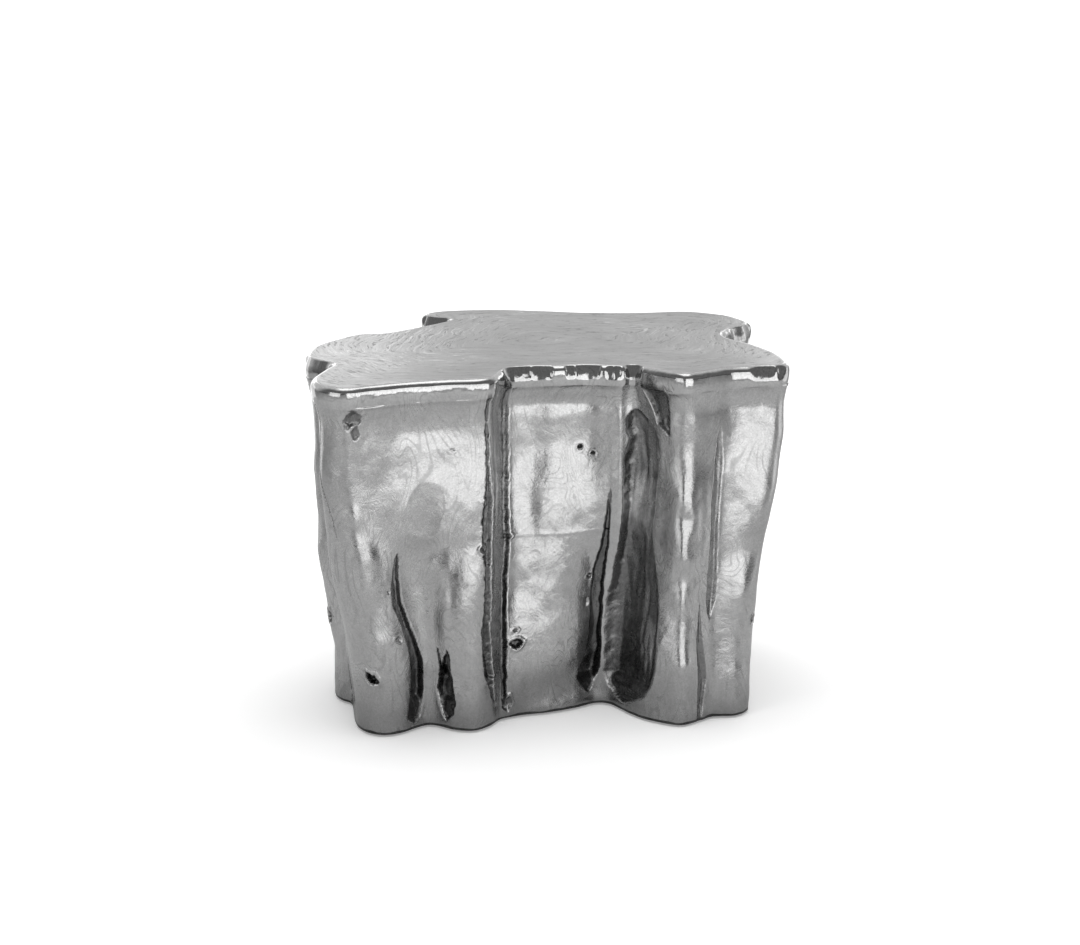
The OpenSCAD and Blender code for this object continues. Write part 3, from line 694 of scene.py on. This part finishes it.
wall_metal = cast_look("polished_wall", 0.52, 0.19, 1.0)
rim_metal = cast_look("polished_rim", 0.55, 0.07, 0.35)
top_metal = top_look()
cast_inside = plain_look("cast_inside", (0.20, 0.20, 0.20), 1.0, 0.55, 500, 0.0006)
mild_steel = plain_look("mild_steel", (0.16, 0.165, 0.17), 1.0, 0.42, 700, 0.0002)
zinc = plain_look("zinc_steel", (0.52, 0.52, 0.49), 1.0, 0.33, 900, 0.0001)
pad_plastic = plain_look("pad_plastic", (0.03, 0.03, 0.032), 0.0, 0.5, 1500, 0.0001)
grip_rubber = plain_look("grip_rubber", (0.018, 0.018, 0.018), 0.0, 0.8, 1100, 0.0002)

# ---------------- the skin's grid
FINE, MEDIUM, COARSE = 1.25, 1.5, 2.4  # column spacing (mm): front, left lobe, hidden sides
SPACING = [FINE, FINE, COARSE, COARSE, COARSE, COARSE, MEDIUM]
ROW = 2.0  # row spacing (mm)
SPACING_Z = 250.0  # the height at which columns are spaced


def panel_columns(first, last, spacing):
    """Parameters of a panel's columns, evenly spaced along the outline."""
    fine = np.linspace(first, last, 400)
    ring = base_outline(fine, np.array([SPACING_Z]))[0]
    arc = np.concatenate([[0], np.cumsum(np.linalg.norm(np.diff(ring, axis=0), axis=1))])
    count = int(round(arc[-1] / spacing))
    return np.interp(np.linspace(0, arc[-1], count + 1), arc, fine)[:-1]


def panel_rows(low, high):
    return np.linspace(low, high, int((high - low) / ROW) + 1)


columns = [panel_columns(a, b, step) for a, b, step in zip(SEAMS, SEAMS[1:], SPACING)]
first_column = np.cumsum([0] + [len(c) for c in columns])
s_all = np.concatenate(columns)
lower = panel_rows(FLOOR_GAP, WELD_Z)
z_all = np.concatenate([lower, panel_rows(WELD_Z, WALL_TOP)[1:]])
weld_row = len(lower) - 1
wall_row = len(z_all) - 1

skin = Skin(s_all, z_all)
fade_shift(skin)
# The rim stands 0.8 mm proud of the wall below it.
skin.shift -= 0.8 * (smooth((WALL_TOP - 1 - z_all) / 2.5) * smooth((z_all - 380) / 30))[:, None]
skin_place = skin.grid.copy()
skin_place[..., :2] += skin.out * skin.shift[..., None]

# The rim is a tight roll in some places and a broad bevel in others, with upright nicks in the bevel.
# Each as in hump: parameter, half width, edge, amount.
BEVELS = [
    (3.1, 3.6, 0.12, 1), (12.6, 0.7, 0.25, 1), (20.5, 3.0, 0.3, 1), (26.0, 1.6, 0.2, 1),
    (33.5, 3.5, 0.3, 1), (41.0, 1.4, 0.3, 1), (45.5, 1.2, 0.3, 1),
]
NICKS = [
    (1.1, 0.05, 0.03, 0.5), (2.05, 0.26, 0.09, 1), (2.62, 0.05, 0.04, 0.6), (3.75, 0.20, 0.12, 0.9),
    (4.35, 0.05, 0.04, 0.5), (5.25, 0.30, 0.22, 0.8), (12.8, 0.1, 0.08, 0.6), (19.6, 0.4, 0.2, 1),
    (22.1, 0.3, 0.1, 1), (25.6, 0.2, 0.1, 0.7), (32.0, 0.4, 0.2, 0.9), (34.6, 0.5, 0.2, 1),
    (41.2, 0.3, 0.2, 1),
]
RIM_ROWS = 37
PROFILE_ROWS = 28  # rows of the plain outline that the rim is read from


def rim_profile():
    """How far in (mm) the rim goes in each row and column, and its height there."""
    bevel = hump(s_all, BEVELS) * (1 - hump(s_all, NICKS))
    q = np.linspace(0, 1, RIM_ROWS)[:, None]  # way along the profile
    across = np.zeros_like(s_all)
    start = 0.22 + 0.10 * noise_a(np.stack([s_all, across, across], -1) / 0.45)
    # Lean in degrees: upright and then over in a tight roll, or a bevel at 27 and then over.
    tight = 2.5 + 87.5 * np.clip((q - 0.60) / 0.40, 0, 1)
    broad = 3 + 24 * smooth((q - start) / 0.14) + 63 * np.clip((q - 0.90) / 0.10, 0, 1)
    lean = np.radians(tight * (1 - bevel) + broad * bevel)
    middle = (lean[1:] + lean[:-1]) / 2
    step = np.diff(q, axis=0)
    inset = np.cumsum(np.sin(middle) * step, axis=0)
    rise = np.cumsum(np.cos(middle) * step, axis=0)
    return inset * RIM_R / inset[-1], WALL_TOP + rise * (TABLE_H - WALL_TOP) / rise[-1]


def rim_places(inset, rim_z):
    """The rim's vertices: the plain outline at each height, hammered a little and moved in."""
    plain, out = outline(s_all, np.linspace(WALL_TOP, ROUND_Z, PROFILE_ROWS))
    level = np.clip((rim_z - WALL_TOP) / (ROUND_Z - WALL_TOP), 0, 1) * (PROFILE_ROWS - 1)
    row = np.minimum(level.astype(int), PROFILE_ROWS - 2)
    part = (level - row)[..., None]
    column = np.arange(len(s_all))[None]
    place = plain[row, column] * (1 - part) + plain[row + 1, column] * part
    place = np.dstack([place, rim_z])
    wave = 1.1 * noise_c(place * np.array([1, 1, 0.3]) / 24) + 0.45 * noise_b(place / np.array([9, 9, 16]))
    wave += 0.12 * noise_a(place / 4)
    fade = 1 - smooth((rim_z - 424) / 16)
    place[..., :2] += out[row, column] * ((0.3 + wave) * fade - inset)[..., None]
    return place


rim_inset, rim_z = rim_profile()
rim_place = rim_places(rim_inset, rim_z)

# Skin and rim as one grid: place, normal, and the black in the cracks with the painted shade, which fades
# out on the rim.
position = np.concatenate([skin_place, rim_place])
edge = np.concatenate([skin.black, np.repeat(skin.black[-1:], len(rim_place), axis=0)])
soot_and_shade = np.concatenate([skin.tone, skin.tone[-1:] * (1 - smooth((rim_z - 416) / 8))])
soot_and_shade *= np.clip(1.05 - position[..., 2] / 1600, 0.8, 1)
along = np.roll(position, -1, axis=1) - np.roll(position, 1, axis=1)
normal = np.cross(along, np.gradient(position, axis=0))
normal /= np.linalg.norm(normal, axis=-1, keepdims=True)
normal[-1] = (0, 0, 1)


def wrap(array, first, count):
    """The count + 1 columns from first, going round."""
    return np.take(array, np.arange(first, first + count + 1) % array.shape[1], axis=1)


def every(count, step):
    """Each step-th number below count, and the last one."""
    return np.unique(np.append(np.arange(0, count - 1, step), count - 1))


INNER_ROWS, INNER_COLUMNS = 12, 8  # the inner skin takes each such row and column of the outer


def inner_skin(plain, out, dent, rows, columns):
    """The inside of a panel, WALL_T behind the deepest dent near each of its vertices."""
    inner = plain[np.ix_(rows, columns)].copy()
    for i, r in enumerate(rows):
        for j, c in enumerate(columns):
            near = dent[max(r - INNER_ROWS - 1, 0):r + INNER_ROWS + 2,
                        max(c - INNER_COLUMNS - 1, 0):c + INNER_COLUMNS + 2]
            inner[i, j, :2] -= out[r, c] * (WALL_T + near.max())
    return inner


def wall_piece(name, panel, row_low, row_high):
    """One cast panel: its detailed outer skin, a coarser inner skin, and the edges between."""
    def cut(array):
        return wrap(array, first_column[panel], len(columns[panel]))[row_low:row_high + 1]

    outer = cut(position)
    rows, cols = outer.shape[:2]
    some_rows = every(rows, INNER_ROWS)
    some_cols = every(cols, INNER_COLUMNS)
    inner = inner_skin(cut(skin.grid), cut(skin.out), -np.minimum(cut(skin.shift), 0), some_rows, some_cols)
    front = np.arange(rows * cols).reshape(rows, cols)
    back = rows * cols + np.arange(len(some_rows) * len(some_cols)).reshape(len(some_rows), -1)
    shown = grid_quads(front).tolist()
    hidden = grid_quads(back)[:, ::-1].tolist()
    hidden += [f[::-1] for f in tri_strip(front[0], range(cols), back[0], some_cols)]
    hidden += tri_strip(front[-1], range(cols), back[-1], some_cols)
    hidden += tri_strip(front[:, 0], range(rows), back[:, 0], some_rows)
    hidden += [f[::-1] for f in tri_strip(front[:, -1], range(rows), back[:, -1], some_rows)]
    faces = shown + [tuple(int(v) for v in f) for f in hidden]
    values = {"edge": np.append(cut(edge), np.full(back.size, -1.0)),
              "soot_and_shade": np.append(cut(soot_and_shade), np.zeros(back.size))}
    piece = make_piece(name, np.concatenate([outer.reshape(-1, 3), inner.reshape(-1, 3)]), faces,
                       [wall_metal, cast_inside], [0] * len(shown) + [1] * len(hidden), values,
                       np.concatenate([cut(normal).reshape(-1, 3), np.zeros((back.size, 3))]))
    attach(piece, "trunk")
    return piece


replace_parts(wall_piece("front_lower_skin", 0, 0, weld_row), "wall_front_lower")
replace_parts(wall_piece("front_upper_skin", 0, weld_row, wall_row), "wall_front_upper")
# node[5:] is a node's name without wall_.
for number, node in enumerate(PANELS[1:], 1):
    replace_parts(wall_piece(node[5:] + "_skin", number, 0, wall_row), node)

# ---------------- rim
def build_rim():
    """The closed ring round the top: the shown band, and a plain inside."""
    band = position[wall_row:]
    high = band[-1].copy()
    high[:, 2] = TABLE_H - PLATE_T
    plain, _ = outline(s_all, np.array([float(WALL_TOP)]))
    low = np.column_stack([plain[0], np.full(len(s_all), WALL_TOP)])
    low[:, :2] -= skin.out[-1] * (WALL_T + 1)
    rings = np.concatenate([band, high[None], low[None]])
    rows, cols = rings.shape[:2]
    index = wrap(np.arange(rows * cols).reshape(rows, cols), 0, cols)
    faces = np.concatenate([grid_quads(index), grid_quads(index[[-1, 0]])])
    shown = (len(band) - 1) * cols
    values = {"edge": np.append(edge[wall_row:], np.full(2 * cols, -1.0)),
              "soot_and_shade": np.append(soot_and_shade[wall_row:], np.zeros(2 * cols))}
    shade = np.concatenate([normal[wall_row:], np.zeros((2, cols, 3))]).reshape(-1, 3)
    return make_piece("rolled_rim", rings.reshape(-1, 3), faces.tolist(), [rim_metal, cast_inside],
                      [0] * shown + [1] * (len(faces) - shown), values, shade)


rim = build_rim()
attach(rim, "trunk")
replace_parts(rim, "top_rim")


# ---------------- top plate
TOP_GRID = 2.0  # spacing of the top's vertices
EDGE_CLEAR = 1.6  # none of them is nearer to the border than this
PITH = np.array([-35.0, 25.0])  # middle of the growth rings
RING = 9.5  # width of a growth ring


def inside_polygon(points, polygon):
    """Which points are inside, by counting crossings."""
    x, y = points.T
    hit = np.zeros(len(points), bool)
    for a, b in zip(polygon, np.roll(polygon, -1, axis=0)):
        if a[1] != b[1]:
            cross = (b[0] - a[0]) * (y - a[1]) / (b[1] - a[1]) + a[0]
            hit ^= ((a[1] > y) != (b[1] > y)) & (x < cross)
    return hit


def edge_distance(points, polygon):
    """Distance to the nearest corner of a polygon with short sides."""
    best = np.full(len(points), 1e9)
    for corner in polygon:
        best = np.minimum(best, (points[:, 0] - corner[0]) ** 2 + (points[:, 1] - corner[1]) ** 2)
    return np.sqrt(best)


def top_triangles(border):
    """Triangulates the top inside its border: vertices, distances from the border, triangles, and the
    vertex of each border point."""
    gx, gy = np.meshgrid(np.arange(border[:, 0].min(), border[:, 0].max(), TOP_GRID),
                         np.arange(border[:, 1].min(), border[:, 1].max(), TOP_GRID))
    spots = np.stack([gx.ravel(), gy.ravel()], -1)
    spots += np.random.default_rng(5).uniform(-0.3, 0.3, spots.shape)
    spots = spots[inside_polygon(spots, border)]
    clear = edge_distance(spots, border)
    spots, clear = spots[clear > EDGE_CLEAR], clear[clear > EDGE_CLEAR]
    count = len(border)
    loop = [(i, (i + 1) % count) for i in range(count)]
    points = [tuple(p) for p in np.concatenate([border, spots])]
    made = delaunay_2d_cdt(points, loop, [], 1, 1e-5)
    flat = np.array([tuple(p) for p in made[0]])
    tris = np.array(made[2])
    source = [ids[0] if ids else 0 for ids in made[3]]
    clear = np.append(np.zeros(count), clear)[source]
    vertex = {point: i for i, point in enumerate(source) if point < count}
    area = np.cross(flat[tris[:, 1]] - flat[tris[:, 0]], flat[tris[:, 2]] - flat[tris[:, 0]])
    tris = np.where(area[:, None] < 0, tris[:, ::-1], tris)
    return flat, clear, tris, np.array([vertex[i] for i in range(count)])


def ring_distance(flat, clear):
    """Distance (mm) across the growth rings, which follow the border outside and the pith inside."""
    p = np.column_stack([flat, np.zeros(len(flat))])
    from_pith = np.linalg.norm((flat - PITH) * np.array([0.8, 1.15]), axis=1)
    at = 0.30 * flat[:, 1] + 0.16 * flat[:, 0] + 0.45 * clear + 0.40 * (260 - from_pith)
    return at + 16 * noise_a(p / 95) + 5 * noise_b(p / 38) + 1.2 * noise_c(p / 14)


def build_top():
    """The satin plate, with shallow growth rings cut into it here and there."""
    flat, clear, tris, border = top_triangles(position[-1][:, :2])
    p = np.column_stack([flat, np.zeros(len(flat))])
    ring_at = ring_distance(flat, clear)
    gate = smooth((noise_b(p / 46 + 9) + 0.12) / 0.3)
    cut = 0.32 * np.exp(-(((ring_at / RING) % 1 - 0.5) / 0.13) ** 2) * gate
    swell = 0.25 * noise_a(p / 60) - 0.15
    top = np.column_stack([flat, TABLE_H + (swell - cut) * smooth(clear / 10)])
    bottom = np.column_stack([flat, np.full(len(flat), TABLE_H - PLATE_T)])
    shift = len(flat)
    after = np.roll(border, -1)
    walls = np.stack([border, border + shift, after + shift, after], -1)
    faces = tris.tolist() + (tris[:, ::-1] + shift).tolist() + walls.tolist()
    kinds = [0] * len(tris) + [1] * (len(tris) + len(walls))
    return make_piece("satin_top_plate", np.concatenate([top, bottom]), faces, [top_metal, cast_inside],
                      kinds, {"ring": np.append(ring_at, ring_at) * MM})


plate = build_top()
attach(plate, "trunk")
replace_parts(plate, "top_plate")

# ---------------- finishes of the CAD nodes
# A finish goes to the nodes whose names start with its key.
FINISH = {"top_bosses": cast_inside, "top_rib": mild_steel, "top_bracket": mild_steel,
          "base_bracket": mild_steel, "base_plate": mild_steel, "top_bolts": zinc, "top_washers": zinc,
          "base_weld_nuts": zinc, "base_bolts": zinc, "leveller": zinc, "foot_stud": zinc,
          "foot_pad": pad_plastic, "foot_grip": grip_rubber}
for node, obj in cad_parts.items():
    for start, finish in FINISH.items():
        if node.startswith(start):
            for holder in obj.material_slots:
                holder.material = finish

# ---------------- studio
FLOOR_SIZE = 60
ABOVE_PAPER = 0.0003  # just enough to keep the two floors apart


def stage_floor(name, look, height):
    bpy.ops.mesh.primitive_plane_add(size=FLOOR_SIZE, location=(0, 0, height))
    plane = bpy.context.object
    plane.name = name
    plane.data.materials.append(look.material)
    return plane


# White paper under the object, which shines more away from it, so that the background is white.
paper = Look("paper", Base_Color=(0.9, 0.9, 0.9, 1), Roughness=0.9, Emission_Color=(1, 1, 1, 1))
from_middle = paper.node("VectorMath", {0: paper.place}, operation="LENGTH").outputs["Value"]
paper.set(Emission_Strength=paper.remap(from_middle, 0.4, 2.5, 0.22, 0.75, soft=True))
stage_floor("paper_floor", paper, 0).visible_glossy = False
# The grey of the wider studio's floor, which only reflections see.
ground = Look("ground", Roughness=0.9)
behind = ground.axes(ground.place)[1]
ground.set(Base_Color=ground.grey(ground.remap(behind, -0.2, 0.6, 0.62, 0.48, soft=True)))
ground_floor = stage_floor("studio_floor", ground, ABOVE_PAPER)
ground_floor.visible_camera = False
ground_floor.visible_diffuse = False
ground_floor.visible_shadow = False


def soft_light(name, place, aim, size, radiance):
    """A soft box, as bright as radiance says whatever its size; the camera doesn't see it."""
    data = bpy.data.lights.new(name, "AREA")
    data.shape = "RECTANGLE"
    data.size, data.size_y = size
    data.energy = radiance * math.pi * size[0] * size[1]
    lamp = bpy.data.objects.new(name, data)
    lamp.location = place
    x, y, z = np.array(aim) - np.array(place)
    lamp.rotation_euler = (math.atan2(math.hypot(x, y), -z), 0, math.atan2(-x, y))
    lamp.visible_camera = False
    bpy.context.scene.collection.objects.link(lamp)
    return lamp


# The second light whitens the paper without showing in the polished metal.
soft_light("overhead", (0, 0.1, 2.8), (0, 0, 0.2), (1.7, 1.7), 1.15)
soft_light("floor_fill", (0, 0, 2.9), (0, 0, 0), (1.7, 1.7), 2.6).visible_glossy = False

# Strip lights round the object: azimuth from the front (degrees), distance, width, bottom, top, radiance.
STRIPS = [
    (22, 1.35, 1.30, 0.12, 0.85, 1.45), (-40, 1.5, 0.90, 0.16, 0.90, 1.1),
    (98, 1.3, 0.70, 0.00, 0.75, 0.75), (-125, 1.3, 0.60, 0.00, 0.75, 0.7),
    (150, 1.3, 0.70, 0.00, 0.85, 1.1), (-155, 1.3, 0.70, 0.00, 0.85, 1.1),
]
for number, (azimuth, away, width, low, high, radiance) in enumerate(STRIPS):
    turn = math.radians(azimuth)
    place = (away * math.sin(turn), -away * math.cos(turn), (low + high) / 2)
    soft_light(f"strip_{number}", place, (0, 0, place[2]), (width, high - low), radiance)


ROOM_FRONT, ROOM_BACK, ROOM_TOP = 0.16, 0.72, 0.9


def build_world():
    """A pale studio: white behind and above the object, darker in front of it."""
    world = bpy.data.worlds.new("studio")
    bpy.context.scene.world = world
    world.use_nodes = True
    sky = Nodes(world.node_tree)
    _, y, z = sky.axes(sky.node("TexCoord").outputs["Generated"])
    walls = sky.math("MULTIPLY", sky.remap(y, -0.1, 0.55, ROOM_FRONT, ROOM_BACK, soft=True),
                     sky.remap(z, 0.03, 0.22, 0.65, 1.12, soft=True))
    ceiling = sky.remap(z, 0.80, 0.97, 0, 1, soft=True)
    room = sky.math("MULTIPLY_ADD", ceiling, sky.math("SUBTRACT", ROOM_TOP, walls), walls)
    sky.put(sky.tree.nodes["Background"].inputs["Color"], sky.grey(room))


build_world()

bpy.context.view_layer.update()
